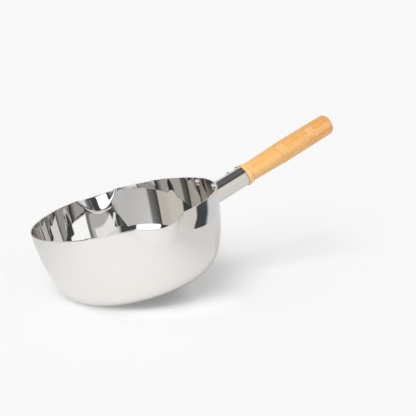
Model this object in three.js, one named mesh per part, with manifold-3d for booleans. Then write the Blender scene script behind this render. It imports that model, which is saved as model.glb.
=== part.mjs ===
// A saucepan: a thin pressed-steel bowl with a pouring spout on each side, a riveted saddle,
// a steel socket that rises from the saddle, and a turned wooden grip pinned into the socket.
// Millimetres, +Z up. The origin is the middle of the flat base and the handle points along +X.
import * as THREE from 'three';
import { mergeVertices } from 'three/addons/utils/BufferGeometryUtils.js';
import Module from 'manifold-3d';

// Bowl, measured on its outside
const RIM_RADIUS = 100;
const BOWL_HEIGHT = 81.5;
const BOWL_SHEET = 1;
const BASE_RADIUS = 68;
// How far the curve of the wall holds its first direction, outward from the base and down from the rim
const BASE_SWEEP = 26;
const WALL_SWEEP = 24;

// Pouring spouts at +Y and -Y
const SPOUT_WIDTH = 49;
const SPOUT_DEPTH = 22;
const SPOUT_REACH = 11.5;
const SPOUT_DIP = 4.2;
const SPOUT_FOLD = 0.9;
// The dip fades down the wall as this power of the height
const DIP_POWER = 4;

// Where the handle's axis meets the rim's cylinder, and how it rises
const HANDLE_DROP = 20.8;
const HANDLE_RISE = THREE.MathUtils.degToRad(12.4);

// Socket, with lengths along the handle's axis from the rim's cylinder
const SOCKET_DIAMETER = 23.4;
const SOCKET_SHEET = 1.2;
const SOCKET_LENGTH = 46.5;
const SOCKET_FLARE = 2;
const MOUTH_CHAMFER = 0.4;

// Saddle plate between the bowl and the socket
const SADDLE_SHEET = 1.2;
const SADDLE_MARGIN = 1.8;
const EAR_RADIUS = 5.2;

// Rivets through the saddle's ears
const RIVET_STANDOFF = 8.8;
const RIVET_DROP = 6;
const RIVET_SHANK = 4.4;
const RIVET_HEAD = 8;
const RIVET_HEAD_HEIGHT = 2.2;

// Pins through the top of the socket
const PIN_FROM_MOUTH = 4.4;
const PIN_PITCH = 11.8;
const PIN_SHANK = 2.6;
const PIN_LENGTH = 13;
const PIN_POINT = 3;
const PIN_HEAD = 5;
const PIN_HEAD_HEIGHT = 2.4;

// Wooden grip, with lengths from the front face of its collar
const GRIP_LENGTH = 127.6;
const COLLAR_DIAMETER = 26.2;
const COLLAR_CHAMFER = 0.8;
const COLLAR_LENGTH = 9;
const COLLAR_LINE = 7.5;
const NECK_DIAMETER = 22.6;
const SWELL_DIAMETER = 25.4;
const SWELL_PLACE = 64;
const BUTT_DIAMETER = 24.9;
const BUTT_ROUND = 4;
const TENON_SETBACK = 11;
const GROOVE_WIDTH = 1.7;
const GROOVE_DEPTH = 0.55;
const GROOVE_PITCH = 3.25;
const GROOVE_COUNT = 3;
const FRONT_GROOVES = 53;
const REAR_GROOVES_FROM_BUTT = 31.8;

// Gap between pieces that fit together
const CLEARANCE = 0.3;

// Fineness of the facets
const SPOUT_COLUMNS = 16;
const SIDE_COLUMNS = 24;
const WALL_ROWS = 16;
const SADDLE_COLUMNS = 120;
const SADDLE_ROWS = 8;
const ROUND_SIDES = 36;
const SMALL_SIDES = 16;
const DOME_STEPS = 4;
const FLARE_STEPS = 3;
const GRIP_STEPS = 12;
// Fine columns reach this many times the spout's half angle to each side
const SPOUT_SPAN = 1.25;
// Places closer than these count as one, for points of a skin and for steps along the grip
const SAME_POINT = 1e-4;
const SAME_PLACE = 0.01;
// Step of a slope, as a share of the wall and in radians, and rounds of a search
const SLOPE_STEP = 1e-4;
const SEARCH_ROUNDS = 40;

const STEEL = { color: 0xdedbd7, metalness: 1, roughness: 0.08 };
const BRIGHT_STEEL = { color: 0xd2d0cd, metalness: 1, roughness: 0.15 };
const WOOD = { color: 0xe3a558, metalness: 0, roughness: 0.5 };

const wasm = await Module();
wasm.setup();

// Keeps only the places of a geometry's points, joins those that coincide and drops empty triangles.
function closed(geometry) {
  const bare = geometry.clone();
  bare.deleteAttribute('normal');
  bare.deleteAttribute('uv');
  const merged = mergeVertices(bare, SAME_POINT);
  const corners = merged.index.array;
  const kept = [];
  for (let i = 0; i < corners.length; i += 3) {
    const [a, b, c] = corners.slice(i, i + 3);
    if (a !== b && b !== c && c !== a) kept.push(a, b, c);
  }
  merged.setIndex(kept);
  return merged;
}

function toSolid(geometry) {
  const whole = closed(geometry);
  return new wasm.Manifold(new wasm.Mesh({
    numProp: 3,
    vertProperties: new Float32Array(whole.attributes.position.array),
    triVerts: new Uint32Array(whole.index.array),
  }));
}

function toGeometry(solid) {
  const mesh = solid.getMesh();
  const geometry = new THREE.BufferGeometry();
  geometry.setAttribute('position', new THREE.BufferAttribute(mesh.vertProperties, 3));
  geometry.setIndex(new THREE.BufferAttribute(mesh.triVerts, 1));
  return geometry;
}

function cut(geometry, tools) {
  return toGeometry(tools.reduce((solid, tool) => solid.subtract(toSolid(tool)), toSolid(geometry)));
}

function piece(name, geometry, finish) {
  geometry.computeVertexNormals();
  const mesh = new THREE.Mesh(geometry, new THREE.MeshStandardMaterial(finish));
  mesh.name = name;
  return mesh;
}

// Evenly spaced values from one end to the other, both included.
function spread(from, to, steps) {
  return Array.from({ length: steps + 1 }, (_, i) => from + ((to - from) * i) / steps);
}

// A round piece about the X axis, from pairs of radius and place along the axis.
function turned(outline, sides) {
  const points = outline.map(([radius, place]) => new THREE.Vector2(radius, place));
  return new THREE.LatheGeometry(points, sides).rotateZ(-Math.PI / 2);
}

// A straight drill of the given diameter along the X axis.
function drill(diameter, from, to) {
  return turned([[0, from], [diameter / 2, from], [diameter / 2, to], [0, to]], SMALL_SIDES);
}

// The cap of a ball on a flat face at `place`, bulging by `height` in direction `way`, edge first.
function dome(diameter, height, place, way) {
  const edge = diameter / 2;
  const ball = (edge * edge + height * height) / (2 * height);
  return spread(edge, 0, DOME_STEPS).map((radius) => {
    const bulge = Math.sqrt(ball * ball - radius * radius) - (ball - height);
    return [radius, place + way * bulge];
  });
}

// Triangles between rings of points; each ring goes round and each next ring lies further on.
function stitch(rings, looped) {
  const columns = rings[0].length;
  const bands = looped ? rings.length : rings.length - 1;
  const corners = [];
  for (let band = 0; band < bands; band += 1) {
    const here = band * columns;
    const there = ((band + 1) % rings.length) * columns;
    for (let column = 0; column < columns; column += 1) {
      const next = (column + 1) % columns;
      corners.push(here + column, here + next, there + next);
      corners.push(here + column, there + next, there + column);
    }
  }
  return corners;
}

function fromPoints(points, corners) {
  const geometry = new THREE.BufferGeometry().setFromPoints(points);
  geometry.setIndex(corners);
  return geometry;
}

// Bowl

const wallCurve = new THREE.CubicBezierCurve(
  new THREE.Vector2(BASE_RADIUS, 0),
  new THREE.Vector2(BASE_RADIUS + BASE_SWEEP, 0),
  new THREE.Vector2(RIM_RADIUS, BOWL_HEIGHT - WALL_SWEEP),
  new THREE.Vector2(RIM_RADIUS, BOWL_HEIGHT),
);

// The bowl's outside radius at a height, clear of the spouts.
function wallRadius(height) {
  let low = 0;
  let high = 1;
  for (let i = 0; i < SEARCH_ROUNDS; i += 1) {
    const middle = (low + high) / 2;
    if (wallCurve.getPoint(middle).y < height) low = middle;
    else high = middle;
  }
  return wallCurve.getPoint(low).x;
}

// Zero below zero and the value itself above, with the corner rounded off by the fold.
function folded(value) {
  const softness = SPOUT_FOLD / SPOUT_REACH;
  return (value + Math.hypot(value, softness)) / 2;
}

// A point of the bowl's outside, at a plan angle and a share of the way up the wall.
function bowlPoint(angle, share) {
  const { x: plainRadius, y: plainHeight } = wallCurve.getPoint(share);
  const across = (RIM_RADIUS * Math.cos(angle)) / (SPOUT_WIDTH / 2);
  const upper = (plainHeight / BOWL_HEIGHT) ** DIP_POWER;
  const height = plainHeight - SPOUT_DIP * folded(1 - across ** 2) * upper;
  const below = (BOWL_HEIGHT - height) / SPOUT_DEPTH;
  const radius = plainRadius + SPOUT_REACH * folded(1 - below - across ** 2);
  return new THREE.Vector3(radius * Math.cos(angle), radius * Math.sin(angle), height);
}

function bowlNormal(angle, share) {
  const low = Math.max(0, share - SLOPE_STEP);
  const high = Math.min(1, share + SLOPE_STEP);
  const round = bowlPoint(angle + SLOPE_STEP, share).sub(bowlPoint(angle - SLOPE_STEP, share));
  const up = bowlPoint(angle, high).sub(bowlPoint(angle, low));
  return round.cross(up).normalize();
}

// Plan angles of the bowl's columns, closer together across the two spouts.
function columnAngles() {
  const halfSpout = SPOUT_SPAN * Math.asin(SPOUT_WIDTH / 2 / RIM_RADIUS);
  const angles = [];
  for (const side of [-1, 1]) {
    const middle = (side * Math.PI) / 2;
    for (let i = 0; i < SPOUT_COLUMNS; i += 1) {
      angles.push(middle - halfSpout + (2 * halfSpout * i) / SPOUT_COLUMNS);
    }
    for (let i = 0; i < SIDE_COLUMNS; i += 1) {
      angles.push(middle + halfSpout + ((Math.PI - 2 * halfSpout) * i) / SIDE_COLUMNS);
    }
  }
  return angles;
}

// The sheet as one closed skin: up the outside, over the lip and down the inside.
function bowlSheet() {
  const angles = columnAngles();
  const shares = spread(0, 1, WALL_ROWS);
  const outside = shares.map((share) => angles.map((angle) => bowlPoint(angle, share)));
  const inside = shares.map((share) => angles.map((angle) => (
    bowlPoint(angle, share).addScaledVector(bowlNormal(angle, share), -BOWL_SHEET)
  )));
  const rings = [...outside, ...inside.reverse()];
  const corners = stitch(rings, false);
  const points = [...rings.flat(), new THREE.Vector3(0, 0, 0), new THREE.Vector3(0, 0, BOWL_SHEET)];
  const [baseMiddle, floorMiddle] = [points.length - 2, points.length - 1];
  const lastRing = (rings.length - 1) * angles.length;
  angles.forEach((_, column) => {
    const next = (column + 1) % angles.length;
    corners.push(baseMiddle, next, column);
    corners.push(floorMiddle, lastRing + column, lastRing + next);
  });
  return fromPoints(points, corners);
}

// Saddle and rivets

const saddleFace = CLEARANCE + SADDLE_SHEET;
const rivetHeight = BOWL_HEIGHT - RIVET_DROP;
const rivetSide = SOCKET_DIAMETER / 2 + RIVET_STANDOFF;
const rivetWall = wallRadius(rivetHeight);
const rivetTurn = Math.asin(rivetSide / rivetWall);
const handleHeight = BOWL_HEIGHT - HANDLE_DROP;

// A ring that follows the bowl's wall between two distances outside it.
function wallRing(from, to) {
  const heights = spread(0, BOWL_HEIGHT, SADDLE_ROWS);
  const outline = [
    ...heights.map((height) => new THREE.Vector2(wallRadius(height) + to, height)),
    ...heights.reverse().map((height) => new THREE.Vector2(wallRadius(height) + from, height)),
  ];
  outline.push(outline[0].clone());
  return new THREE.LatheGeometry(outline, SADDLE_COLUMNS).rotateX(Math.PI / 2);
}

// The saddle seen from the handle: one round foot about the socket and a round ear about each rivet.
function saddleOutline() {
  const foot = SOCKET_DIAMETER / 2 + SOCKET_FLARE + SADDLE_MARGIN;
  const down = handleHeight - rivetHeight;
  const apart = Math.hypot(rivetSide, down);
  const side = Math.atan2(down, -rivetSide) + Math.acos((EAR_RADIUS - foot) / apart);
  const shape = new THREE.Shape();
  shape.absarc(rivetSide, rivetHeight, EAR_RADIUS, side, Math.PI / 2);
  shape.absarc(-rivetSide, rivetHeight, EAR_RADIUS, Math.PI / 2, Math.PI - side);
  shape.absarc(0, handleHeight, foot, Math.PI - side, 2 * Math.PI + side);
  return shape;
}

// Turns a piece that lies along the X axis to stand at a rivet's place; `side` is 1 or -1.
function atRivet(geometry, side) {
  return geometry.rotateZ(side * rivetTurn).translate(0, 0, rivetHeight);
}

function rivetHole(side) {
  const margin = 2 * (BOWL_SHEET + saddleFace);
  return atRivet(drill(RIVET_SHANK + 2 * CLEARANCE, rivetWall - margin, rivetWall + margin), side);
}

function rivet(side) {
  const inside = rivetWall - BOWL_SHEET - CLEARANCE;
  const outside = rivetWall + saddleFace + CLEARANCE;
  const outline = [
    ...dome(RIVET_HEAD, RIVET_HEAD_HEIGHT, inside, -1).reverse(),
    [RIVET_SHANK / 2, inside],
    [RIVET_SHANK / 2, outside],
    ...dome(RIVET_HEAD, RIVET_HEAD_HEIGHT, outside, 1),
  ];
  return atRivet(turned(outline, SMALL_SIDES), side);
}

function saddle() {
  const prism = new THREE.ExtrudeGeometry(saddleOutline(), { depth: 2 * RIM_RADIUS, bevelEnabled: false });
  const [x, y, z] = [0, 1, 2].map((axis) => new THREE.Vector3().setComponent(axis, 1));
  prism.applyMatrix4(new THREE.Matrix4().makeBasis(y, z, x));
  const plate = toSolid(wallRing(CLEARANCE, saddleFace)).intersect(toSolid(prism));
  return cut(toGeometry(plate), [1, -1].map(rivetHole));
}

// Handle, in its own frame: X along its axis, Z up, from where the axis meets the rim's cylinder

const socketRadius = SOCKET_DIAMETER / 2;
const boreRadius = socketRadius - SOCKET_SHEET;
const collarFront = SOCKET_LENGTH + CLEARANCE;
const pinSeat = socketRadius + CLEARANCE;
const pinTip = pinSeat - PIN_LENGTH;

// Where a line along the handle, at a radius and an angle about its axis, meets the saddle.
function seat(radius, angle) {
  const across = radius * Math.cos(angle);
  const above = radius * Math.sin(angle);
  let place = 0;
  for (let i = 0; i < SEARCH_ROUNDS; i += 1) {
    const out = RIM_RADIUS + place * Math.cos(HANDLE_RISE) - above * Math.sin(HANDLE_RISE);
    const height = handleHeight + place * Math.sin(HANDLE_RISE) + above * Math.cos(HANDLE_RISE);
    const face = wallRadius(height) + saddleFace + CLEARANCE;
    place += face - Math.hypot(out, across);
  }
  return place;
}

// A round tube whose root is hollowed to the saddle and spreads into a small flare there.
function socketTube() {
  const outline = [
    ...spread(0, Math.PI / 2, FLARE_STEPS).map((turn) => {
      const radius = socketRadius + SOCKET_FLARE * (1 - Math.sin(turn));
      return (angle) => [radius, seat(radius, angle) + SOCKET_FLARE * (1 - Math.cos(turn))];
    }),
    () => [socketRadius, SOCKET_LENGTH - MOUTH_CHAMFER],
    () => [socketRadius - MOUTH_CHAMFER, SOCKET_LENGTH],
    () => [boreRadius, SOCKET_LENGTH],
    (angle) => [boreRadius, seat(boreRadius, angle)],
  ];
  const rings = outline.map((place) => {
    const ring = [];
    for (let side = 0; side < ROUND_SIDES; side += 1) {
      const angle = (2 * Math.PI * side) / ROUND_SIDES;
      const [radius, along] = place(angle);
      ring.push(new THREE.Vector3(along, radius * Math.cos(angle), radius * Math.sin(angle)));
    }
    return ring;
  });
  return fromPoints(rings.flat(), stitch(rings, true));
}

const pinPlaces = {
  pin_rear: SOCKET_LENGTH - PIN_FROM_MOUTH,
  pin_front: SOCKET_LENGTH - PIN_FROM_MOUTH - PIN_PITCH,
};

// Stands a piece that lies along the X axis upright at a place along the handle.
function atPin(geometry, place) {
  return geometry.rotateY(-Math.PI / 2).translate(place, 0, 0);
}

function pin(place) {
  const outline = [
    [0, pinTip],
    [PIN_SHANK / 2, pinTip + PIN_POINT],
    [PIN_SHANK / 2, pinSeat],
    ...dome(PIN_HEAD, PIN_HEAD_HEIGHT, pinSeat, 1),
  ];
  return atPin(turned(outline, SMALL_SIDES), place);
}

function pinHoles() {
  const hole = PIN_SHANK + 2 * CLEARANCE;
  return Object.values(pinPlaces).map((place) => atPin(drill(hole, pinTip - CLEARANCE, 2 * pinSeat), place));
}

// Places of the turned grooves: one line behind the collar and two rows of a few each.
const grooveRows = [FRONT_GROOVES, GRIP_LENGTH - REAR_GROOVES_FROM_BUTT].flatMap((middle) => (
  Array.from({ length: GROOVE_COUNT }, (_, i) => middle + (i - (GROOVE_COUNT - 1) / 2) * GROOVE_PITCH)
));
const grooves = [COLLAR_LINE, ...grooveRows];

// The grip's radius at a distance behind its front face.
function gripRadius(place) {
  const { lerp, smoothstep } = THREE.MathUtils;
  const collar = COLLAR_DIAMETER / 2 - Math.max(0, COLLAR_CHAMFER - place);
  const roundStart = GRIP_LENGTH - BUTT_ROUND;
  const past = Math.max(0, place - roundStart);
  let radius = lerp(collar, NECK_DIAMETER / 2, smoothstep(place, COLLAR_CHAMFER, COLLAR_LENGTH));
  radius = lerp(radius, SWELL_DIAMETER / 2, smoothstep(place, COLLAR_LENGTH, SWELL_PLACE));
  radius = lerp(radius, BUTT_DIAMETER / 2, smoothstep(place, SWELL_PLACE, roundStart));
  radius -= BUTT_ROUND - Math.sqrt(BUTT_ROUND ** 2 - past ** 2);
  for (const groove of grooves) {
    radius -= GROOVE_DEPTH * Math.max(0, 1 - Math.abs(place - groove) / (GROOVE_WIDTH / 2));
  }
  return radius;
}

function gripPlaces() {
  const places = [
    0,
    ...spread(COLLAR_CHAMFER, COLLAR_LENGTH, DOME_STEPS),
    ...spread(COLLAR_LENGTH, GRIP_LENGTH - BUTT_ROUND, GRIP_STEPS),
    ...grooves.flatMap((groove) => [groove - GROOVE_WIDTH / 2, groove, groove + GROOVE_WIDTH / 2]),
    ...spread(0, Math.PI / 2, DOME_STEPS).map((turn) => GRIP_LENGTH - BUTT_ROUND * (1 - Math.sin(turn))),
  ];
  const sorted = places.filter((place) => place <= GRIP_LENGTH).sort((a, b) => a - b);
  return sorted.filter((place, i) => i === 0 || place - sorted[i - 1] > SAME_PLACE);
}

function grip() {
  const tenonRadius = boreRadius - CLEARANCE;
  const outline = [
    [0, TENON_SETBACK],
    [tenonRadius, TENON_SETBACK],
    [tenonRadius, collarFront],
    ...gripPlaces().map((place) => [gripRadius(place), collarFront + place]),
    [0, collarFront + GRIP_LENGTH],
  ];
  return turned(outline, ROUND_SIDES);
}

// Assembly

const saucepan = new THREE.Group();
saucepan.add(piece('bowl', cut(bowlSheet(), [1, -1].map(rivetHole)), STEEL));
saucepan.add(piece('saddle_plate', saddle(), BRIGHT_STEEL));
saucepan.add(piece('rivet_far', closed(rivet(1)), BRIGHT_STEEL));
saucepan.add(piece('rivet_near', closed(rivet(-1)), BRIGHT_STEEL));

const handle = new THREE.Group();
handle.position.set(RIM_RADIUS, 0, handleHeight);
handle.rotation.y = -HANDLE_RISE;
handle.add(piece('socket_tube', cut(socketTube(), pinHoles()), STEEL));
for (const [name, place] of Object.entries(pinPlaces)) {
  handle.add(piece(name, closed(pin(place)), BRIGHT_STEEL));
}
handle.add(piece('wooden_grip', cut(grip(), pinHoles()), WOOD));
saucepan.add(handle);

export default saucepan;
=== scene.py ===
"""A saucepan in a white studio: mirror-polished bowl, riveted saddle, steel socket and turned grip.

Metres, +Z up. The origin is the middle of the flat base and the handle points along +X.
"""

import math

import bpy
import numpy as np
from mathutils import Matrix, Vector


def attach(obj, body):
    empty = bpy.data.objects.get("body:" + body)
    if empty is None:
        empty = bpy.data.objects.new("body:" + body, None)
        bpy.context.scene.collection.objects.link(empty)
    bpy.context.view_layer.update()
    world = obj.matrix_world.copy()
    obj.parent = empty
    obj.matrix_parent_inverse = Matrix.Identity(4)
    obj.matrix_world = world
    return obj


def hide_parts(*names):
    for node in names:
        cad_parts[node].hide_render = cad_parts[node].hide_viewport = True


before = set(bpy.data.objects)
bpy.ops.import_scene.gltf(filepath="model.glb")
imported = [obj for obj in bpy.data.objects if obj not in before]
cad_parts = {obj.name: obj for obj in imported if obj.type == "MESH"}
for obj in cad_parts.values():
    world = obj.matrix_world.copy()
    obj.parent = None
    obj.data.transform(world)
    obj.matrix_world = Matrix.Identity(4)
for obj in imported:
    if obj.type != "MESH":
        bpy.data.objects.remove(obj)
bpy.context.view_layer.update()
scene = bpy.context.scene

# Bowl, measured on its outside
RIM_RADIUS = 0.100
BOWL_HEIGHT = 0.0815
BOWL_SHEET = 0.001
BASE_RADIUS = 0.068
BASE_SWEEP = 0.026
WALL_SWEEP = 0.024
LIP_ROUND = 0.00005

# Pouring spouts at +Y and -Y
SPOUT_WIDTH = 0.049
SPOUT_DEPTH = 0.022
SPOUT_REACH = 0.0115
SPOUT_DIP = 0.0042
SPOUT_FOLD = 0.0009

# Handle axis: where it meets the rim's cylinder, and how it rises
HANDLE_DROP = 0.0208
HANDLE_RISE = math.radians(12.4)

# Socket, with lengths along the handle's axis
SOCKET_DIAMETER = 0.0234
SOCKET_SHEET = 0.0012
SOCKET_LENGTH = 0.0465
SOCKET_FLARE = 0.002
MOUTH_ROUND = 0.0004

# Saddle plate
SADDLE_SHEET = 0.0012
SADDLE_MARGIN = 0.0018
SADDLE_ROUND = 0.0003
EAR_RADIUS = 0.0052

# Rivets and pins
RIVET_STANDOFF = 0.0088
RIVET_DROP = 0.006
RIVET_SHANK = 0.0044
RIVET_HEAD = 0.008
RIVET_HEAD_HEIGHT = 0.0022
PIN_FROM_MOUTH = 0.0044
PIN_PITCH = 0.0118
PIN_SHANK = 0.0026
PIN_LENGTH = 0.013
PIN_POINT = 0.003
PIN_BLUNT = 0.001
PIN_HEAD = 0.005
PIN_HEAD_HEIGHT = 0.0024

# Wooden grip, with lengths from the front face of its collar
GRIP_LENGTH = 0.1276
COLLAR_DIAMETER = 0.0262
COLLAR_CHAMFER = 0.0008
COLLAR_LENGTH = 0.009
COLLAR_LINE = 0.0075
NECK_DIAMETER = 0.0226
SWELL_DIAMETER = 0.0254
SWELL_PLACE = 0.064
BUTT_DIAMETER = 0.0249
BUTT_ROUND = 0.004
TENON_SETBACK = 0.011
GROOVE_WIDTH = 0.0017
GROOVE_DEPTH = 0.00055
GROOVE_PITCH = 0.00325
FRONT_GROOVES = 0.053
REAR_GROOVES_FROM_BUTT = 0.0318

CLEARANCE = 0.0003

# Points closer together than this become one point
SEAM_GAP = 2e-6

# Bends that are shaded as sharp edges: none on the bowl, whose lip is round
SHARP_BOWL = math.pi
SHARP_FITTING = math.radians(50)
SHARP_GRIP = math.radians(40)

# Sizes that follow from the ones above
saddle_face = CLEARANCE + SADDLE_SHEET
rivet_height = BOWL_HEIGHT - RIVET_DROP
rivet_side = SOCKET_DIAMETER / 2 + RIVET_STANDOFF
handle_height = BOWL_HEIGHT - HANDLE_DROP
socket_radius = SOCKET_DIAMETER / 2
bore_radius = socket_radius - SOCKET_SHEET
collar_front = SOCKET_LENGTH + CLEARANCE
handle_place = Matrix.Translation((RIM_RADIUS, 0, handle_height)) @ Matrix.Rotation(-HANDLE_RISE, 4, "Y")


# Node trees


class Wire:
    """A number inside a node tree. Arithmetic on it adds the nodes that work it out."""

    def __init__(self, tree, socket):
        self.tree = tree
        self.socket = socket

    def __add__(self, other):
        return worked(self.tree, "ADD", self, other)

    def __radd__(self, other):
        return worked(self.tree, "ADD", other, self)

    def __sub__(self, other):
        return worked(self.tree, "SUBTRACT", self, other)

    def __rsub__(self, other):
        return worked(self.tree, "SUBTRACT", other, self)

    def __mul__(self, other):
        return worked(self.tree, "MULTIPLY", self, other)

    def __rmul__(self, other):
        return worked(self.tree, "MULTIPLY", other, self)

    def __truediv__(self, other):
        return worked(self.tree, "DIVIDE", self, other)

    def __pow__(self, other):
        return worked(self.tree, "POWER", self, other)

    def __abs__(self):
        return worked(self.tree, "ABSOLUTE", self)

    def call(self, operation, *others):
        return worked(self.tree, operation, self, *others)

    def held(self):
        """The number kept between 0 and 1."""
        return self.call("MAXIMUM", 0).call("MINIMUM", 1)

    def eased(self, low, high):
        """0 below low, 1 above high, and a smooth step between them."""
        share = ((self - low) / (high - low)).held()
        return share * share * (3 - 2 * share)


def from_groove(away, pitch, beside):
    """The way to the nearest groove of a row.

    away is the way to the row's middle groove, and beside is how many lie on each side of it.
    """
    nearest = (away / pitch).call("ROUND").call("MAXIMUM", -beside).call("MINIMUM", beside)
    return away - nearest * pitch


def join(tree, value, socket):
    if isinstance(value, Wire):
        tree.links.new(value.socket, socket)
    else:
        socket.default_value = value


def worked(tree, operation, *values):
    node = tree.nodes.new("ShaderNodeMath")
    node.operation = operation
    for value, socket in zip(values, node.inputs):
        join(tree, value, socket)
    return Wire(tree, node.outputs[0])


def vector_of(tree, x, y, z):
    node = tree.nodes.new("ShaderNodeCombineXYZ")
    for value, socket in zip((x, y, z), node.inputs):
        join(tree, value, socket)
    return Wire(tree, node.outputs[0])


def parts_of(vector):
    node = vector.tree.nodes.new("ShaderNodeSeparateXYZ")
    join(vector.tree, vector, node.inputs[0])
    return [Wire(vector.tree, socket) for socket in node.outputs]


def vector_math(operation, *values):
    tree = values[0].tree
    node = tree.nodes.new("ShaderNodeVectorMath")
    node.operation = operation
    for value, socket in zip(values, node.inputs):
        join(tree, value, socket)
    return Wire(tree, node.outputs[0])


def scaled(vector, amount):
    node = vector.tree.nodes.new("ShaderNodeVectorMath")
    node.operation = "SCALE"
    join(vector.tree, vector, node.inputs[0])
    join(vector.tree, amount, node.inputs["Scale"])
    return Wire(vector.tree, node.outputs[0])


def socket_type(value):
    if isinstance(value, bpy.types.Material):
        return "NodeSocketMaterial"
    if isinstance(value, int):
        return "NodeSocketInt"
    if isinstance(value, float):
        return "NodeSocketFloat"
    return "NodeSocketVector"


def shape_tree(name, sizes):
    """A new geometry tree with one named input for each size, and the wires of those inputs."""
    tree = bpy.data.node_groups.new(name, "GeometryNodeTree")
    for label, value in sizes.items():
        tree.interface.new_socket(label, in_out="INPUT", socket_type=socket_type(value))
    tree.interface.new_socket("Mesh", in_out="OUTPUT", socket_type="NodeSocketGeometry")
    entry = tree.nodes.new("NodeGroupInput")
    return tree, {label: Wire(tree, entry.outputs[label]) for label in sizes}


def new_node(tree, kind, **inputs):
    """A node with the named inputs set or joined; spaces in names are written as underscores."""
    node = tree.nodes.new(kind)
    for label, value in inputs.items():
        join(tree, value, node.inputs[label.replace("_", " ")])
    return node


def sheet_grid(tree, columns, rows):
    """A flat grid, with each point's share of the way along its columns and its rows."""
    grid = new_node(tree, "GeometryNodeMeshGrid", Size_X=1.0, Size_Y=1.0)
    join(tree, columns, grid.inputs["Vertices X"])
    join(tree, rows, grid.inputs["Vertices Y"])
    across, along, _ = parts_of(Wire(tree, tree.nodes.new("GeometryNodeInputPosition").outputs[0]))
    return Wire(tree, grid.outputs["Mesh"]), across + 0.5, along + 0.5


def placed(mesh, position, sharp_angle):
    """The grid with its points in place, its seams closed, and sharp edges only above the angle."""
    tree = mesh.tree
    mesh = Wire(tree, new_node(tree, "GeometryNodeSetPosition", Geometry=mesh, Position=position).outputs[0])
    merged = new_node(tree, "GeometryNodeMergeByDistance", Geometry=mesh, Distance=SEAM_GAP)
    mesh = Wire(tree, merged.outputs[0])
    mesh = Wire(tree, new_node(tree, "GeometryNodeSetShadeSmooth", Geometry=mesh).outputs[0])
    bend = Wire(tree, tree.nodes.new("GeometryNodeInputMeshEdgeAngle").outputs["Unsigned Angle"])
    gentle = bend.call("LESS_THAN", sharp_angle)
    edges = new_node(tree, "GeometryNodeSetShadeSmooth", Geometry=mesh, Shade_Smooth=gentle)
    edges.domain = "EDGE"
    return Wire(tree, edges.outputs[0])


def end_tree(mesh, finish):
    tree = mesh.tree
    mesh = Wire(tree, new_node(tree, "GeometryNodeRealizeInstances", Geometry=mesh).outputs[0])
    mesh = Wire(tree, new_node(tree, "GeometryNodeSetMaterial", Geometry=mesh, Material=finish).outputs[0])
    join(tree, mesh, tree.nodes.new("NodeGroupOutput").inputs["Mesh"])
    return tree


def grown(name, tree, sizes):
    """An object with the plain mesh that a tree makes from its sizes."""
    piece = bpy.data.objects.new(name, bpy.data.meshes.new(name))
    scene.collection.objects.link(piece)
    modifier = piece.modifiers.new(tree.name, "NODES")
    modifier.node_group = tree
    for item in tree.interface.items_tree:
        if item.in_out == "INPUT":
            modifier[item.identifier] = sizes[item.name]
    mesh = bpy.data.meshes.new_from_object(piece.evaluated_get(bpy.context.evaluated_depsgraph_get()))
    piece.modifiers.remove(modifier)
    piece.data = mesh
    return piece


# Finishes

# Steel: how much of its tint the clouds keep, how far streaks run round the pan, and the share of light
# that it takes away where a ray has been mirrored twice before
CLOUD_TINT = 0.985
STREAK_SQUEEZE = 0.02
REPEAT_LOSS = 0.16

# Wood: its colours at the collar and at the butt, the colours of the marks in it,
# and how strongly each mark shows. Some marks are painted light: a pale sheen streak, a paler
# collar and underside, a deeper top, and a highlight and a shade on the flanks of each groove
LIGHT_WOOD = ((0.92, 0.56, 0.20), (0.82, 0.43, 0.135))
DARK_WOOD = ((0.80, 0.42, 0.115), (0.68, 0.30, 0.07))
PALE_SHEEN = (0.96, 0.68, 0.36)
SHEEN_STREAK_WIDTH = 0.005
SHEEN_STREAK_WANDER = 0.006
SHEEN_STREAK_TILT = 0.25
PORE_BROWN = (0.55, 0.23, 0.06)
GROOVE_SHADE = (0.45, 0.19, 0.06)
GROOVE_HIGHLIGHT = (0.98, 0.80, 0.55)
GROOVE_SIDE_WIDTH = 0.4
BAND_SHARE = 0.5
FIBRE_SHARE = 0.3
FLECK_SHARE = 0.35
LIGHTER_SHARE = 0.05
TOP_SHADE = 0.2
UNDERSIDE_LIGHT = 0.22
SHEEN_STREAK_SHARE = 0.3
COLLAR_SHEEN = 0.3
PORE_SHARE = 0.4
GROOVE_SHADE_SHARE = 0.35
GROOVE_HIGHLIGHT_SHARE = 0.6
WOOD_ROUGHNESS = 0.36
FIBRE_ROUGHNESS = 0.14


def new_finish(name):
    material = bpy.data.materials.new(name)
    material.use_nodes = True
    tree = material.node_tree
    shader = tree.nodes["Principled BSDF"]
    place = Wire(tree, tree.nodes.new("ShaderNodeTexCoord").outputs["Object"])
    return material, tree, shader, place


def mixed(tree, share, low, high):
    """The low colour, the high colour, or a share of the way between them."""
    node = tree.nodes.new("ShaderNodeMix")
    node.data_type = "RGBA"
    join(tree, share, node.inputs[0])
    for colour, socket in ((low, node.inputs[6]), (high, node.inputs[7])):
        join(tree, colour if isinstance(colour, Wire) else (*colour, 1), socket)
    return Wire(tree, node.outputs[2])


def mirrored_over(tree, times):
    """1 for rays that the metal has mirrored more than so many times, and 0 for others."""
    depth = Wire(tree, tree.nodes.new("ShaderNodeLightPath").outputs["Glossy Depth"])
    return depth.call("GREATER_THAN", times + 0.5)


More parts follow.
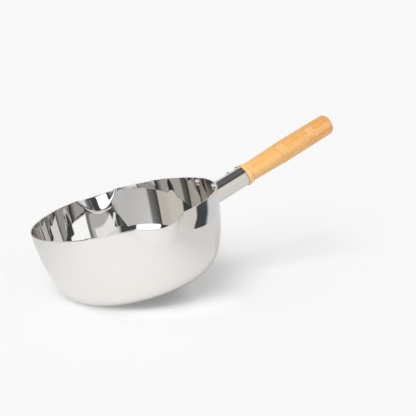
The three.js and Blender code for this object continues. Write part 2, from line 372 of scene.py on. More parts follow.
def polish_group():
    """Marks that polishing and handling leave on steel: broad clouds and fine streaks."""
    tree = bpy.data.node_groups.new("polish_marks", "ShaderNodeTree")
    inputs = {"Place": "NodeSocketVector", "Cloud Scale": "NodeSocketFloat", "Streak Scale": "NodeSocketFloat"}
    for label, kind in inputs.items():
        tree.interface.new_socket(label, in_out="INPUT", socket_type=kind)
    for label in ("Clouds", "Streaks"):
        tree.interface.new_socket(label, in_out="OUTPUT", socket_type="NodeSocketFloat")
    entry = tree.nodes.new("NodeGroupInput")
    place, cloud_scale, streak_scale = (Wire(tree, socket) for socket in entry.outputs[:3])
    clouds = new_node(tree, "ShaderNodeTexNoise", Vector=place, Scale=cloud_scale, Detail=3.0, Roughness=0.6)
    x, y, z = parts_of(place)
    around = worked(tree, "ARCTAN2", y, x)
    radius = (x * x + y * y).call("SQRT")
    streaked = vector_of(tree, around * STREAK_SQUEEZE, radius, z)
    streaks = new_node(tree, "ShaderNodeTexNoise", Vector=streaked, Scale=streak_scale, Detail=2.0)
    out = tree.nodes.new("NodeGroupOutput")
    join(tree, Wire(tree, clouds.outputs["Fac"]), out.inputs["Clouds"])
    join(tree, Wire(tree, streaks.outputs["Fac"]), out.inputs["Streaks"])
    return tree


def steel_finish(name, colour, roughness, spread, cloud_scale, streak_scale):
    """Steel whose roughness and tint drift with the marks of polishing, and whose repeated mirrorings dim."""
    material, tree, shader, place = new_finish(name)
    marks = tree.nodes.new("ShaderNodeGroup")
    marks.node_tree = polish_marks
    for label, value in (("Place", place), ("Cloud Scale", cloud_scale), ("Streak Scale", streak_scale)):
        join(tree, value, marks.inputs[label])
    clouds, streaks = (Wire(tree, marks.outputs[label]) for label in ("Clouds", "Streaks"))
    tint = mixed(tree, clouds, [CLOUD_TINT * part for part in colour], colour)
    dimmed = mixed(tree, mirrored_over(tree, 1) * REPEAT_LOSS, tint, (0, 0, 0))
    join(tree, dimmed, shader.inputs["Base Color"])
    join(tree, roughness + spread * (clouds * 0.5 + streaks * 0.5), shader.inputs["Roughness"])
    shader.inputs["Metallic"].default_value = 1
    return material


def wood_finish():
    """Pale wood turned along the grain: bands, fibres, pores, flecks and a thin oil finish, with painted
    light: a sheen streak, a paler collar and underside, a deeper top, and a painted highlight and shade on the
    flanks of each groove.
    """
    material, tree, shader, place = new_finish("grip_wood")
    turn = new_node(tree, "ShaderNodeMapping", Vector=place)
    turn.vector_type = "TEXTURE"
    turn.inputs["Location"].default_value = handle_place.to_translation()
    turn.inputs["Rotation"].default_value = handle_place.to_euler()
    along, across, above = parts_of(Wire(tree, turn.outputs[0]))
    behind = along - collar_front

    def grain(length_scale, width_scale, detail):
        spot = vector_of(tree, along * length_scale, across * width_scale, above * width_scale)
        noise = new_node(tree, "ShaderNodeTexNoise", Vector=spot, Scale=1.0, Detail=detail)
        return Wire(tree, noise.outputs["Fac"])

    # Each pattern is long along the grip and narrow across it
    bands = grain(6, 230, 2.0).eased(0.3, 0.7)
    fibres = grain(25, 900, 3.0).eased(0.25, 0.75)
    pores = grain(80, 1100, 1.0).eased(0.60, 0.74)
    flecks = grain(300, 700, 1.0).eased(0.35, 0.65)
    # Painted sheen: a pale streak along the middle of the grip, where the sheen falls
    wander = SHEEN_STREAK_WANDER * (grain(8, 90, 2.0) - 0.5)
    sheen_streak = 1 - abs(above + SHEEN_STREAK_TILT * across + wander) / SHEEN_STREAK_WIDTH
    # Painted highlight on the flank of each groove that faces the light, and painted shade on the flank that
    # faces away
    flank_highlight, flank_shade = 0, 0
    rear_grooves = GRIP_LENGTH - REAR_GROOVES_FROM_BUTT
    for middle, beside in ((COLLAR_LINE, 0), (FRONT_GROOVES, 1), (rear_grooves, 1)):
        way = from_groove(behind - middle, GROOVE_PITCH, beside) / GROOVE_WIDTH
        flank_highlight = flank_highlight + (1 - abs(way - 0.35) / GROOVE_SIDE_WIDTH).held()
        flank_shade = flank_shade + (1 - abs(way + 0.2) / GROOVE_SIDE_WIDTH).held()
    lift = above / (0.5 * BUTT_DIAMETER)
    # The painted groove highlight shows only on a band along the upper side
    upper = lift.eased(0.1, 0.5) - lift.eased(0.8, 1.0)
    # Painted shade: the top is painted deeper in colour, where it catches no sheen
    top_shade = TOP_SHADE * lift.eased(0.4, 0.8)
    # Painted light: the underside is painted paler, for light from the floor and sheen at grazing angles
    underside_light = UNDERSIDE_LIGHT * (1 - lift.eased(-0.6, -0.1))
    back = (behind / GRIP_LENGTH).held()
    light = mixed(tree, back, *LIGHT_WOOD)
    dark = mixed(tree, back, *DARK_WOOD)
    marks = BAND_SHARE * bands + FIBRE_SHARE * fibres + FLECK_SHARE * flecks
    tone = mixed(tree, marks + top_shade - LIGHTER_SHARE, light, dark)
    # Painted sheen: the collar is painted paler, as it faces the light
    collar = 1 - behind.eased(0.003, 0.010)
    painted_sheen = sheen_streak.held() * SHEEN_STREAK_SHARE + COLLAR_SHEEN * collar + underside_light
    tone = mixed(tree, painted_sheen, tone, PALE_SHEEN)
    tone = mixed(tree, pores * PORE_SHARE, tone, PORE_BROWN)
    tone = mixed(tree, flank_shade * GROOVE_SHADE_SHARE, tone, GROOVE_SHADE)
    tone = mixed(tree, flank_highlight * GROOVE_HIGHLIGHT_SHARE * upper, tone, GROOVE_HIGHLIGHT)
    join(tree, tone, shader.inputs["Base Color"])
    join(tree, WOOD_ROUGHNESS + FIBRE_ROUGHNESS * fibres, shader.inputs["Roughness"])
    shader.inputs["Coat Weight"].default_value = 0.4
    shader.inputs["Coat Roughness"].default_value = 0.3
    bump = new_node(tree, "ShaderNodeBump", Height=fibres, Strength=0.15, Distance=0.0002)
    tree.links.new(bump.outputs[0], shader.inputs["Normal"])
    return material


polish_marks = polish_group()
polished_steel = steel_finish(
    "polished_steel", (0.82, 0.797, 0.770), roughness=0.02, spread=0.02, cloud_scale=18.0, streak_scale=900.0
)
fitting_steel = steel_finish(
    "fitting_steel", (0.86, 0.835, 0.81), roughness=0.10, spread=0.08, cloud_scale=60.0, streak_scale=2500.0
)
grip_wood = wood_finish()


# Bowl


def bowl_point(size, angle, share):
    """A point of the bowl's outside, at a plan angle and a share of the way up the wall."""
    rest = 1 - share
    second = 3 * rest * rest * share
    third = 3 * rest * share * share
    last = share * share * share
    first = rest * rest * rest
    plain_radius = size["Base Radius"] * (first + second) + size["Base Sweep"] * second
    plain_radius = plain_radius + size["Rim Radius"] * (third + last)
    plain_height = size["Height"] * (third + last) - size["Wall Sweep"] * third
    cosine = angle.call("COSINE")
    reach = size["Rim Radius"] * cosine / (size["Spout Width"] * 0.5)
    across = reach * reach
    softness = size["Spout Fold"] / size["Spout Reach"]

    def folded(value):
        return (value + (value * value + softness * softness).call("SQRT")) * 0.5

    upper = (plain_height / size["Height"]) ** 4
    height = plain_height - size["Spout Dip"] * folded(1 - across) * upper
    below = (size["Height"] - height) / size["Spout Depth"]
    radius = plain_radius + size["Spout Reach"] * folded(1 - below - across)
    return vector_of(angle.tree, radius * cosine, radius * angle.call("SINE"), height)


def make_bowl():
    sizes = {
        "Rim Radius": RIM_RADIUS,
        "Height": BOWL_HEIGHT,
        "Sheet": BOWL_SHEET,
        "Lip Round": LIP_ROUND,
        "Base Radius": BASE_RADIUS,
        "Base Sweep": BASE_SWEEP,
        "Wall Sweep": WALL_SWEEP,
        "Spout Width": SPOUT_WIDTH,
        "Spout Depth": SPOUT_DEPTH,
        "Spout Reach": SPOUT_REACH,
        "Spout Dip": SPOUT_DIP,
        "Spout Fold": SPOUT_FOLD,
        "Columns": 361,
        "Rows": 241,
        "Finish": polished_steel,
    }
    tree, size = shape_tree("bowl_sheet", sizes)
    grid, round_share, path_share = sheet_grid(tree, size["Columns"], size["Rows"])
    # Columns crowd together at the spouts, where the sheet bends most
    crowding = 0.3
    even = round_share * math.tau
    angle = even + crowding * (even * 2).call("SINE")
    climb = 1 - abs(path_share * 2 - 1)
    floor_part, lip_part = 0.05, 0.05
    flat = (climb / floor_part).held()
    share = ((climb - floor_part) / (1 - floor_part - lip_part)).held()
    inward = ((path_share - 0.5) / lip_part + 0.5).held()
    step = 1e-3
    here = bowl_point(size, angle, share)
    after, before = bowl_point(size, angle + step, share), bowl_point(size, angle - step, share)
    over, under = bowl_point(size, angle, share + step), bowl_point(size, angle, share - step)
    round_way = vector_math("SUBTRACT", after, before)
    up_way = vector_math("SUBTRACT", over, under)
    normal = vector_math("NORMALIZE", vector_math("CROSS_PRODUCT", round_way, up_way))
    edge = (1 - abs(inward * 2 - 1) ** 4) ** 0.25
    x, y, z = parts_of(vector_math("SUBTRACT", here, scaled(normal, size["Sheet"] * inward)))
    tip = parts_of(normal)[2]
    # High powers of the share act only at the lip: they level it and round it
    level = size["Sheet"] * inward * tip * share ** 80
    rounding = size["Lip Round"] * (1 - edge) * share ** 30
    height = z + level - rounding
    position = vector_of(tree, x * flat, y * flat, height)
    shape = placed(grid, position, SHARP_BOWL)
    return grown("steel_bowl", end_tree(shape, size["Finish"]), sizes)


bowl = make_bowl()


# Saddle and socket


def ring_mesh(name, rings, looped, finish, sharp_angle):
    """A skin over rings of points, joined end to end or closed with a face at each end."""
    columns = len(rings[0])
    faces = []
    for ring in range(len(rings) if looped else len(rings) - 1):
        here = ring * columns
        there = (ring + 1) % len(rings) * columns
        for column in range(columns):
            after = (column + 1) % columns
            faces.append((here + column, here + after, there + after, there + column))
    if not looped:
        faces.append(tuple(reversed(range(columns))))
        faces.append(tuple(range((len(rings) - 1) * columns, len(rings) * columns)))
    mesh = bpy.data.meshes.new(name)
    mesh.from_pydata(np.concatenate(rings).tolist(), [], faces)
    mesh.materials.append(finish)
    mesh.shade_smooth()
    mesh.set_sharp_from_angle(angle=sharp_angle)
    piece = bpy.data.objects.new(name, mesh)
    scene.collection.objects.link(piece)
    return piece


def wall_radius(height):
    """The bowl's outside radius at each height, clear of the spouts."""
    share = np.linspace(0, 1, 2001)
    rest = 1 - share
    second, third, last = 3 * rest**2 * share, 3 * rest * share**2, share**3
    radius = BASE_RADIUS * (rest**3 + second) + BASE_SWEEP * second + RIM_RADIUS * (third + last)
    level = BOWL_HEIGHT * (third + last) - WALL_SWEEP * third
    return np.interp(height, level, radius)


def saddle_outline(turns):
    """The middle of the saddle seen from the handle, and how far its outline is in each direction."""
    foot = socket_radius + SOCKET_FLARE + SADDLE_MARGIN
    middle = np.array([0, (handle_height + rivet_height) / 2])
    rounds = [(0, handle_height, foot)]
    rounds += [(side * rivet_side, rivet_height, EAR_RADIUS) for side in (1, -1)]
    directions, grazing = 1440, 0.01
    ways = np.linspace(0, math.tau, directions, endpoint=False)
    facing = np.stack([np.cos(ways), np.sin(ways)], 1)
    support = np.max([facing @ (np.array([y, z]) - middle) + radius for y, z, radius in rounds], 0)
    looks = np.stack([np.cos(turns), np.sin(turns)], 1) @ facing.T
    reach = np.where(looks > grazing, support / np.maximum(looks, grazing), np.inf)
    return middle, reach.min(1)


def make_saddle():
    columns, steps, round_steps = 240, 24, 6
    innermost = 0.04
    turns = np.linspace(0, math.tau, columns, endpoint=False)
    middle, reach = saddle_outline(turns)

    def ring(distance, offset):
        y = middle[0] + distance * np.cos(turns)
        z = middle[1] + distance * np.sin(turns)
        radius = wall_radius(z) + offset
        return np.stack([np.sqrt(radius**2 - y**2), y, z], 1)

    shares = np.linspace(innermost, 1, steps)
    rings = [ring(reach * share, CLEARANCE) for share in shares]
    for turn in np.linspace(0, math.pi / 2, round_steps):
        inset = SADDLE_ROUND * (1 - math.cos(turn))
        rings.append(ring(reach - inset, saddle_face - SADDLE_ROUND * (1 - math.sin(turn))))
    rings += [ring((reach - SADDLE_ROUND) * share, saddle_face) for share in shares[-2::-1]]
    return ring_mesh("steel_saddle", rings, False, fitting_steel, SHARP_FITTING)


def seat(radius, turns):
    """Where lines along the handle, at a radius and at angles about its axis, meet the saddle."""
    across = radius * np.cos(turns)
    above = radius * np.sin(turns)
    along = np.zeros_like(turns)
    passes = 40
    for _ in range(passes):
        out = RIM_RADIUS + along * math.cos(HANDLE_RISE) - above * math.sin(HANDLE_RISE)
        height = handle_height + along * math.sin(HANDLE_RISE) + above * math.cos(HANDLE_RISE)
        along = along + wall_radius(height) + saddle_face - np.hypot(out, across)
    return along


def make_socket():
    columns, flare_steps, straight_steps, round_steps = 120, 10, 20, 6
    turns = np.linspace(0, math.tau, columns, endpoint=False)

    def ring(radius, along):
        local = np.stack([along + 0 * turns, radius * np.cos(turns), radius * np.sin(turns)], 1)
        return local @ np.array(handle_place.to_3x3()).T + np.array(handle_place.to_translation())

    rings = []
    for turn in np.linspace(0, math.pi / 2, flare_steps):
        radius = socket_radius + SOCKET_FLARE * (1 - math.sin(turn))
        rings.append(ring(radius, seat(radius, turns) + SOCKET_FLARE * (1 - math.cos(turn))))
    root = seat(socket_radius, turns) + SOCKET_FLARE
    straight = SOCKET_LENGTH - MOUTH_ROUND
    for share in np.linspace(0, 1, straight_steps)[1:]:
        rings.append(ring(socket_radius, root + (straight - root) * share))
    for turn in np.linspace(0, math.pi / 2, round_steps)[1:]:
        radius = socket_radius - MOUTH_ROUND * (1 - math.cos(turn))
        rings.append(ring(radius, straight + MOUTH_ROUND * math.sin(turn)))
    rings.append(ring(bore_radius, SOCKET_LENGTH))
    rings.append(ring(bore_radius, seat(bore_radius, turns)))
    return ring_mesh("steel_socket", rings, True, polished_steel, SHARP_FITTING)


# Rivets and pins


def fastener_tree(sizes):
    """Two equal round-headed fasteners, each turned along its own X axis with its head's seat at zero."""
    tree, size = shape_tree("headed_fasteners", sizes)
    grid, round_share, path_share = sheet_grid(tree, size["Columns"], size["Rows"])
    angle = round_share * math.tau
    # Where each stretch of the profile ends, as shares of the way along it
    ends = (0, 0.3, 0.4, 0.6, 0.7, 1)
    tail, tail_seat, shank, head_seat, head = (
        ((path_share - low) / (high - low)).held() for low, high in zip(ends, ends[1:])
    )
    radius = size["Tail"] * 0.5 * (tail * (math.pi / 2)).call("SINE")
    radius = radius + tail_seat * (size["Shank"] - size["Tail"]) * 0.5
    radius = radius + head_seat * (size["Head"] - size["Shank"]) * 0.5
    radius = radius - size["Head"] * 0.5 * (1 - (head * (math.pi / 2)).call("COSINE"))
    along = size["Shank Length"] * (shank - 1) - size["Tail Height"] * (tail * (math.pi / 2)).call("COSINE")
    along = along + size["Head Height"] * (head * (math.pi / 2)).call("SINE")
    position = vector_of(tree, along, radius * angle.call("COSINE"), radius * angle.call("SINE"))
    shape = placed(grid, position, SHARP_FITTING)
    first, step = size["First Place"], size["Step"]
    line = new_node(tree, "GeometryNodeMeshLine", Count=2, Start_Location=first, Offset=step)
    index = Wire(tree, tree.nodes.new("GeometryNodeInputIndex").outputs[0])
    turn = vector_of(tree, 0.0, size["Tilt"], size["Fan"] * (index * 2 - 1))
    facing = new_node(tree, "FunctionNodeEulerToRotation", Euler=turn)
    copies = new_node(
        tree,
        "GeometryNodeInstanceOnPoints",
        Points=Wire(tree, line.outputs["Mesh"]),
        Instance=shape,
        Rotation=Wire(tree, facing.outputs[0]),
    )
    return end_tree(Wire(tree, copies.outputs[0]), size["Finish"])


def make_rivets():
    wall = float(wall_radius(rivet_height))
    turn = math.asin(rivet_side / wall)
    sink = 0.0001
    seat_radius = wall + saddle_face - sink
    sizes = {
        "Head": RIVET_HEAD,
        "Head Height": RIVET_HEAD_HEIGHT + sink,
        "Shank": RIVET_SHANK,
        "Shank Length": BOWL_SHEET + saddle_face - sink,
        "Tail": RIVET_HEAD,
        "Tail Height": RIVET_HEAD_HEIGHT + sink,
        "First Place": Vector((seat_radius * math.cos(turn), -seat_radius * math.sin(turn), rivet_height)),
        "Step": Vector((0, 2 * seat_radius * math.sin(turn), 0)),
        "Tilt": 0.0,
        "Fan": turn,
        "Columns": 49,
        "Rows": 61,
        "Finish": fitting_steel,
    }
    return grown("dome_rivets", fastener_tree(sizes), sizes)


def make_pins():
    seat_height = socket_radius - CLEARANCE
    front = SOCKET_LENGTH - PIN_FROM_MOUTH - PIN_PITCH
    along = handle_place.to_3x3() @ Vector((1, 0, 0))
    sizes = {
        "Head": PIN_HEAD,
        "Head Height": PIN_HEAD_HEIGHT + CLEARANCE,
        "Shank": PIN_SHANK,
        "Shank Length": PIN_LENGTH - PIN_POINT,
        "Tail": PIN_SHANK,
        "Tail Height": PIN_POINT - PIN_BLUNT,
        "First Place": handle_place @ Vector((front, 0, seat_height)),
        "Step": along * PIN_PITCH,
        "Tilt": -(math.pi / 2 + HANDLE_RISE),
        "Fan": 0.0,
        "Columns": 49,
        "Rows": 61,
        "Finish": fitting_steel,
    }
    return grown("socket_pins", fastener_tree(sizes), sizes)


# Grip


def make_grip():
    sizes = {
        "Length": GRIP_LENGTH,
        "Collar": COLLAR_DIAMETER,
        "Chamfer": COLLAR_CHAMFER,
        "Collar Length": COLLAR_LENGTH,
        "Neck": NECK_DIAMETER,
        "Swell": SWELL_DIAMETER,
        "Swell Place": SWELL_PLACE,
        "Butt": BUTT_DIAMETER,
        "Butt Round": BUTT_ROUND,
        "Tenon": 2 * (bore_radius - CLEARANCE),
        "Tenon Start": TENON_SETBACK,
        "Collar Front": collar_front,
        "Groove Width": GROOVE_WIDTH,
        "Groove Depth": GROOVE_DEPTH,
        "Groove Pitch": GROOVE_PITCH,
        "Collar Line": COLLAR_LINE,
        "Front Grooves": FRONT_GROOVES,
        "Rear Grooves": GRIP_LENGTH - REAR_GROOVES_FROM_BUTT,
        "Axis Start": Vector((RIM_RADIUS, 0, handle_height)),
        "Rise": HANDLE_RISE,
        "Columns": 97,
        "Rows": 601,
        "Finish": grip_wood,
    }
    tree, size = shape_tree("turned_grip", sizes)
    grid, round_share, path_share = sheet_grid(tree, size["Columns"], size["Rows"])
    angle = round_share * math.tau
    # Where each stretch of the profile ends, as shares of the way along it
    ends = (0, 0.01, 0.02, 0.03, 0.99, 1)
    tenon_end, tenon, collar_face, body, butt_face = (
        ((path_share - low) / (high - low)).held() for low, high in zip(ends, ends[1:])
    )
    place = body * size["Length"]
    round_start = size["Length"] - size["Butt Round"]
    radius = size["Collar"] * 0.5 - (size["Chamfer"] - place).call("MAXIMUM", 0)
    radius = radius + (size["Neck"] * 0.5 - radius) * place.eased(size["Chamfer"], size["Collar Length"])
    radius = radius + (size["Swell"] * 0.5 - radius) * place.eased(size["Collar Length"], size["Swell Place"])
    radius = radius + (size["Butt"] * 0.5 - radius) * place.eased(size["Swell Place"], round_start)
    past = (place - round_start).call("MAXIMUM", 0)
    bend = (size["Butt Round"] * size["Butt Round"] - past * past).call("MAXIMUM", 0).call("SQRT")
    radius = radius - size["Butt Round"] + bend
    for middle, beside in (("Collar Line", 0), ("Front Grooves", 1), ("Rear Grooves", 1)):
        gap = abs(from_groove(place - size[middle], size["Groove Pitch"], beside))
        radius = radius - size["Groove Depth"] * (1 - gap.eased(0, size["Groove Width"] * 0.5))
    tenon_radius = size["Tenon"] * 0.5
    radius = (tenon_radius * tenon_end + (radius - tenon_radius) * collar_face) * (1 - butt_face)
    along = size["Tenon Start"] + (size["Collar Front"] - size["Tenon Start"]) * tenon + place
    across = radius * angle.call("COSINE")
    above = radius * angle.call("SINE")
    cosine, sine = size["Rise"].call("COSINE"), size["Rise"].call("SINE")
    start_x, start_y, start_z = parts_of(size["Axis Start"])
    position = vector_of(
        tree,
        start_x + along * cosine - above * sine,
        start_y + across,
        start_z + along * sine + above * cosine,
    )
    shape = placed(grid, position, SHARP_GRIP)
    return grown("turned_grip", end_tree(shape, size["Finish"]), sizes)


saddle = make_saddle()
socket = make_socket()
rivets = make_rivets()
pins = make_pins()
grip = make_grip()

for piece, slot, nodes in (
    (bowl, "polished_steel", ["bowl"]),
    (saddle, "fitting_steel", ["saddle_plate"]),
    (socket, "polished_steel", ["socket_tube"]),
    (rivets, "fitting_steel", ["rivet_far", "rivet_near"]),
    (pins, "fitting_steel", ["pin_front", "pin_rear"]),
    (grip, "grip_wood", ["wooden_grip"]),
):
    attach(piece, "root")
    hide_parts(*nodes)


# Studio

# The pan is shown tipped: the camera is level with a floor that leans against the pan's own axes
VIEW_TURN = math.radians(-23.57)
VIEW_RISE = math.radians(15.22)
LEAN = math.radians(13.04)
VIEW_DISTANCE = 0.750
VIEW_SHIFT_RIGHT = 0.08864
VIEW_SHIFT_UP = -0.00189
LENS = 61.38
SENSOR_WIDTH = 36

# Room light: what the camera sees behind the floor, what comes from all round and how much more of that
# comes from the front, and what the metal sees above the wall
BACKGROUND = 0.939
AMBIENT = 0.515
AMBIENT_LEAN = 0.45
CEILING = 0.15

# Floor. A pair of lengths says where a change begins and where it is complete.
FLOOR_DEPTH = 0.01578
FLOOR_REACH = 6.0
FLOOR_FADE = (2.0, 5.5)
FLOOR_COLOUR = 0.64
FLOOR_GLOW = 0.272

# Painted shade under the pan: a darker floor colour, and a painted contact shadow in its glow where the base
# touches it
UNDER_SHADE = 0.42
UNDER_REACH = (0.03, 0.058)
CONTACT_DROP = 0.07
CONTACT_PLACE = (-0.006, 0.022)
CONTACT_STRETCH = 0.3
CONTACT_REACH = (0.017, 0.038)

# Painted light: a brighter arc of floor glow in front of the pan, with both of its edges askew
ARC_GLOW = 0.33
ARC_STRETCH = 0.5
ARC_START = (0.046, 0.062)
ARC_START_SKEW = 0.05
ARC_END = (0.06, 0.09)
ARC_END_SKEW = 0.1
ARC_FORWARD = (-0.005, 0.04)
ARC_LEFT = (-0.105, -0.055)
ARC_RIGHT = (0.05, 0.12)
ARC_WEAKENING = 0.45
ARC_WEAKER = (0, 0.05)

# Floor as the metal mirrors it: its gleam toward the camera, and its bounce back onto dull surfaces
FLOOR_GLEAM = 0.1
GLEAM_START = (0.04, 0.085)
GLEAM_DROP = 0.28
GLEAM_PLACE = (-0.045, 0.25)
GLEAM_REACH = (0.08, 0.42)
BOUNCE_GLOW = 0.4
BOUNCE_START = (0.05, 0.11)

# Lamps: the turn from the camera toward its right, the rise and the spread in degrees, and the strength
KEY_LIGHTS = (
    (-20, 42, 35, 1.15),
    (-40, 64, 29, 1.0),
)

# Studio wall. Places on it are degrees round the pan, from the camera toward its right, and heights.
WALL_RADIUS = 0.5
WALL_HEIGHT = 1.2
WALL_MIDDLE = 0.06
WALL_DARK = 0.07
WALL_FADE = (0.45, 0.8)
WALL_TINT = (0.96, 1.0, 1.05)
WARM_TINT = (1.026, 1.0, 0.97)
WARM_START = (14, 22)
WARM_EDGE = 2

# Upright panels: start, end, the softness of both edges, and brightness
WALL_PANELS = (
    (-200, -147, 1, 13, 0.75),
    (-128, -71, 4, 1.5, 0.64),
    (-71, -61, 1.5, 1.5, 0.27),
    (18, 66, 4, 14, 0.80),
)

# Panels on the right and at the back, with a dark card between them. The card's edges slant with the height,
# in degrees per metre, and lean over at the floor.
SIDE_START = (52, 80)
SIDE_EDGE = 1.5
SIDE_BRIGHTNESS = 0.70
BACK_EDGE = 4
BACK_BRIGHTNESS = 0.72
BACK_RISE = 0.9
BACK_RISE_FROM = 0.15
CARD_START = 87
CARD_START_SLANT = 24
CARD_END = 109
CARD_END_SLANT = 50
CARD_SLANT_FROM = 0.05
CARD_SLANT_HEIGHT = 0.35
CARD_LEAN = 6
CARD_LEAN_HEIGHT = 0.055
CARD_WIDENING = 13
CARD_GLOW = 0.8

# Bright card on the left
LEFT_CARD = (-131, -79)
LEFT_CARD_EDGE = 1.5
LEFT_CARD_FOOT = (0.124, 0.136)
LEFT_CARD_BRIGHTNESS = 1.2

# Light box in front. For each upright edge: its place, how far it moves to the left in repeated mirrorings and
# at which heights that ends, its slant in degrees per metre, and the height where the slant begins
BOX_LEFT = (-44, 18, (0.165, 0.185), -35, 0.2)
BOX_RIGHT = (-7, 14, (0.175, 0.215), 50, 0.22)
BOX_EDGE = 1.2
BOX_FOOT = 0.085
BOX_FOOT_PLACE = -54
BOX_FOOT_SLANT = 0.0014
BOX_FOOT_EDGE = 0.005
BOX_TOP = (0.95, 1.0)
BOX_BRIGHTNESS = 1.45

view_right = Vector((math.cos(VIEW_TURN), math.sin(VIEW_TURN), 0))
to_camera = Vector((
    math.sin(VIEW_TURN) * math.cos(VIEW_RISE),
    -math.cos(VIEW_TURN) * math.cos(VIEW_RISE),
    math.sin(VIEW_RISE),
))
view_up = to_camera.cross(view_right)
floor_up = Vector((0, 0, 1)) * math.cos(LEAN) + view_right * math.sin(LEAN)
floor_right = view_right * math.cos(LEAN) - Vector((0, 0, 1)) * math.sin(LEAN)
floor_front = floor_right.cross(floor_up)


def make_camera():
    """A camera that is level with the leaning floor."""
    right = view_right * math.cos(LEAN) - view_up * math.sin(LEAN)
    up = view_right * math.sin(LEAN) + view_up * math.cos(LEAN)
    eye = Vector((0, 0, BOWL_HEIGHT)) + to_camera * VIEW_DISTANCE
    eye += right * VIEW_SHIFT_RIGHT + up * VIEW_SHIFT_UP
    camera = bpy.data.objects.new("camera", bpy.data.cameras.new("camera"))
    scene.collection.objects.link(camera)
    camera.matrix_world = Matrix.Translation(eye) @ Matrix((right, up, to_camera)).transposed().to_4x4()
    camera.data.lens = LENS
    camera.data.sensor_width = SENSOR_WIDTH
    camera.data.clip_start = 0.01
    scene.camera = camera


def make_floor():
    """A wide floor with soft light of its own, painted shade under the pan and a painted pool of light in an
    arc in front of it.
    """
    material, tree, shader, place = new_finish("studio_floor")
    shader.inputs["Roughness"].default_value = 1
    shader.inputs["Specular IOR Level"].default_value = 0
    shader.inputs["Emission Color"].default_value = (1, 1, 1, 1)
    path = tree.nodes.new("ShaderNodeLightPath")
    glossy_ray = Wire(tree, path.outputs["Is Glossy Ray"])
    direct = Wire(tree, path.outputs["Diffuse Depth"]).call("LESS_THAN", 0.5)
    parts = parts_of(place)
    across = sum(part * step for part, step in zip(parts, floor_right))
    nearer = sum(part * step for part, step in zip(parts, floor_front))

    def away_from(spot, stretch=1.0):
        """The way from a spot on the floor. A stretch below 1 makes its rings longer from side to side."""
        sideways, forward = across - spot[0], nearer - spot[1]
        return (stretch * sideways * sideways + forward * forward).call("SQRT")

    middle = away_from((0, 0))
    # Painted light: an arc of extra glow in front of the pan
    ring = away_from((0, 0), ARC_STRETCH)
    arc = (ring + ARC_START_SKEW * across).eased(*ARC_START)
    arc = arc * (1 - (ring - ARC_END_SKEW * across).eased(*ARC_END))
    arc = arc * nearer.eased(*ARC_FORWARD) * across.eased(*ARC_LEFT)
    arc = arc * (1 - ARC_WEAKENING * across.eased(*ARC_WEAKER)) * (1 - across.eased(*ARC_RIGHT))
    # Painted contact shadow: less glow where the base touches the floor
    contact_shadow = 1 - away_from(CONTACT_PLACE, CONTACT_STRETCH).eased(*CONTACT_REACH)
    plain = FLOOR_GLOW + ARC_GLOW * arc - CONTACT_DROP * contact_shadow
    # Painted reflection: the floor that the metal mirrors glows brighter, most round a spot in front of the
    # pan, and the glow is painted out under the pan
    gleam = FLOOR_GLOW + FLOOR_GLEAM - GLEAM_DROP * away_from(GLEAM_PLACE).eased(*GLEAM_REACH)
    bounce = BOUNCE_GLOW * middle.eased(*BOUNCE_START)
    gleam = bounce + direct * (gleam * middle.eased(*GLEAM_START) - bounce)
    glow = plain + glossy_ray * (gleam - plain)
    join(tree, glow, shader.inputs["Emission Strength"])
    join(tree, 1 - middle.eased(*FLOOR_FADE), shader.inputs["Alpha"])
    # Painted shade: the floor's colour is darker under the pan
    shade = UNDER_SHADE * (1 - middle.eased(*UNDER_REACH))
    join(tree, mixed(tree, shade, (FLOOR_COLOUR,) * 3, (0, 0, 0)), shader.inputs["Base Color"])
    corners = [
        floor_up * -FLOOR_DEPTH + floor_right * side * FLOOR_REACH + floor_front * end * FLOOR_REACH
        for side, end in ((-1, -1), (-1, 1), (1, 1), (1, -1))
    ]
    mesh = bpy.data.meshes.new("studio_floor")
    mesh.from_pydata([tuple(corner) for corner in corners], [], [(0, 1, 2, 3)])
    mesh.materials.append(material)
    floor = bpy.data.objects.new("studio_floor", mesh)
    scene.collection.objects.link(floor)


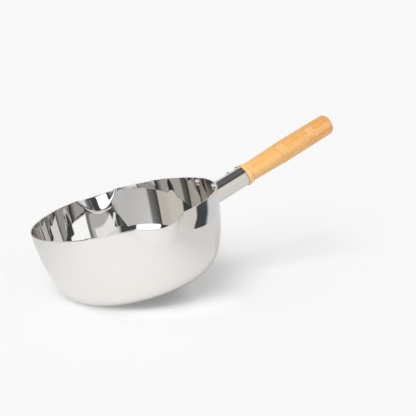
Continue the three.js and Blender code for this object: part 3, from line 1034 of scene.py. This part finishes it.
def wall_finish():
    """Light that depends on the way round the pan and on the height above the floor."""
    material = bpy.data.materials.new("studio_wall")
    material.use_nodes = True
    material.cycles.emission_sampling = "NONE"
    tree = material.node_tree
    tree.nodes.remove(tree.nodes["Principled BSDF"])
    way_round, height, _ = parts_of(Wire(tree, tree.nodes.new("ShaderNodeTexCoord").outputs["UV"]))
    way = way_round * 360 - 180
    height = height * WALL_HEIGHT

    def panel(start, end, start_edge, end_edge):
        return way.eased(start - start_edge, start + start_edge) - way.eased(end - end_edge, end + end_edge)

    light = 0
    for *edges, brightness in WALL_PANELS:
        light = light + panel(*edges) * (brightness - WALL_DARK)

    # The dark card stands further round and is wider in light that has been mirrored three times or more
    higher = (height - CARD_SLANT_FROM).call("MAXIMUM", 0).call("MINIMUM", CARD_SLANT_HEIGHT)
    shift = CARD_LEAN * (1 - height.eased(0, CARD_LEAN_HEIGHT)) + CARD_WIDENING * mirrored_over(tree, 2)
    card_start = CARD_START + CARD_START_SLANT * higher - shift
    card_end = CARD_END + CARD_END_SLANT * higher - shift.call("MINIMUM", CARD_LEAN)
    into_card = way - card_start
    side = way.eased(*SIDE_START) - into_card.eased(-SIDE_EDGE, SIDE_EDGE)
    back = (way - card_end).eased(-BACK_EDGE, BACK_EDGE)
    between = into_card.eased(0, 1) * into_card / (card_end - card_start)
    rise = BACK_RISE * (higher - BACK_RISE_FROM).call("MAXIMUM", 0)
    light = light + side * (SIDE_BRIGHTNESS - WALL_DARK) + back * (BACK_BRIGHTNESS - WALL_DARK + rise)
    light = light + (1 - back) * between.held() * CARD_GLOW * higher

    below_top = 1 - height.eased(*WALL_FADE)
    light = light * below_top + WALL_DARK
    left_card = panel(*LEFT_CARD, LEFT_CARD_EDGE, LEFT_CARD_EDGE) * height.eased(*LEFT_CARD_FOOT) * below_top
    light = light + left_card * (LEFT_CARD_BRIGHTNESS - light)

    repeat = mirrored_over(tree, 1)

    def box_edge(place, move, move_ends, slant, slant_from):
        moved = move * repeat * (1 - height.eased(*move_ends))
        return place - moved + slant * (height - slant_from).call("MAXIMUM", 0)

    left, right = way - box_edge(*BOX_LEFT), box_edge(*BOX_RIGHT) - way
    foot = height - BOX_FOOT - BOX_FOOT_SLANT * (way - BOX_FOOT_PLACE)
    box = left.eased(-BOX_EDGE, BOX_EDGE) * right.eased(-BOX_EDGE, BOX_EDGE)
    box = box * foot.eased(-BOX_FOOT_EDGE, BOX_FOOT_EDGE) * (1 - height.eased(*BOX_TOP))
    light = light + box * (BOX_BRIGHTNESS - light)
    warm = way.eased(*WARM_START) - into_card.eased(-WARM_EDGE, WARM_EDGE)
    glow = new_node(tree, "ShaderNodeEmission", Color=mixed(tree, warm, WALL_TINT, WARM_TINT), Strength=light)
    tree.links.new(glow.outputs[0], tree.nodes["Material Output"].inputs["Surface"])
    return material


def make_wall():
    """A round wall of studio panels that only the metal sees."""
    columns = 120
    middle = Vector((0, 0, WALL_MIDDLE))
    foot = middle - floor_up * (middle.dot(floor_up) + FLOOR_DEPTH)
    points, places = [], []
    for column in range(columns + 1):
        turn = math.tau * (column / columns - 0.5)
        edge = foot + (floor_front * math.cos(turn) + floor_right * math.sin(turn)) * WALL_RADIUS
        for share in (0, 1):
            points.append(tuple(edge + floor_up * WALL_HEIGHT * share))
            places.append((column / columns, share))
    faces = [(2 * column, 2 * column + 1, 2 * column + 3, 2 * column + 2) for column in range(columns)]
    mesh = bpy.data.meshes.new("studio_wall")
    mesh.from_pydata(points, [], faces)
    layer = mesh.uv_layers.new(name="wall")
    for corner in mesh.loops:
        layer.data[corner.index].uv = places[corner.vertex_index]
    mesh.materials.append(wall_finish())
    wall = bpy.data.objects.new("studio_wall", mesh)
    scene.collection.objects.link(wall)
    wall.visible_camera = False
    wall.visible_diffuse = False
    wall.visible_transmission = False
    wall.visible_shadow = False


def make_key_light(turn, rise, spread, strength):
    """A wide lamp that the metal doesn't mirror."""
    level = floor_front * math.cos(turn) + floor_right * math.sin(turn)
    toward = level * math.cos(rise) + floor_up * math.sin(rise)
    lamp = bpy.data.lights.new("key_light", "SUN")
    lamp.energy = strength
    lamp.angle = spread
    key = bpy.data.objects.new("key_light", lamp)
    key.rotation_euler = toward.to_track_quat("Z", "Y").to_euler()
    key.visible_glossy = False
    scene.collection.objects.link(key)


def make_world():
    """Light of the room, with one strength for the camera, one for mirrorings and one for all else."""
    world = bpy.data.worlds.new("studio")
    scene.world = world
    world.use_nodes = True
    world.cycles.sampling_method = "NONE"
    tree = world.node_tree
    way = parts_of(Wire(tree, tree.nodes.new("ShaderNodeTexCoord").outputs["Generated"]))
    front = way[0] * floor_front.x + way[1] * floor_front.y + way[2] * floor_front.z
    ambient = AMBIENT * (1 + AMBIENT_LEAN * front)
    path = tree.nodes.new("ShaderNodeLightPath")
    camera_ray = Wire(tree, path.outputs["Is Camera Ray"])
    glossy_ray = Wire(tree, path.outputs["Is Glossy Ray"])
    strength = ambient + camera_ray * (BACKGROUND - ambient) + glossy_ray * (CEILING - ambient)
    join(tree, strength, tree.nodes["Background"].inputs["Strength"])
    tree.nodes["Background"].inputs["Color"].default_value = (1, 1, 1, 1)


make_camera()
make_floor()
make_wall()
for turn, rise, spread, strength in KEY_LIGHTS:
    make_key_light(math.radians(turn), math.radians(rise), math.radians(spread), strength)
make_world()
scene.view_settings.view_transform = "Standard"
scene.cycles.max_bounces = 20
scene.cycles.glossy_bounces = 18
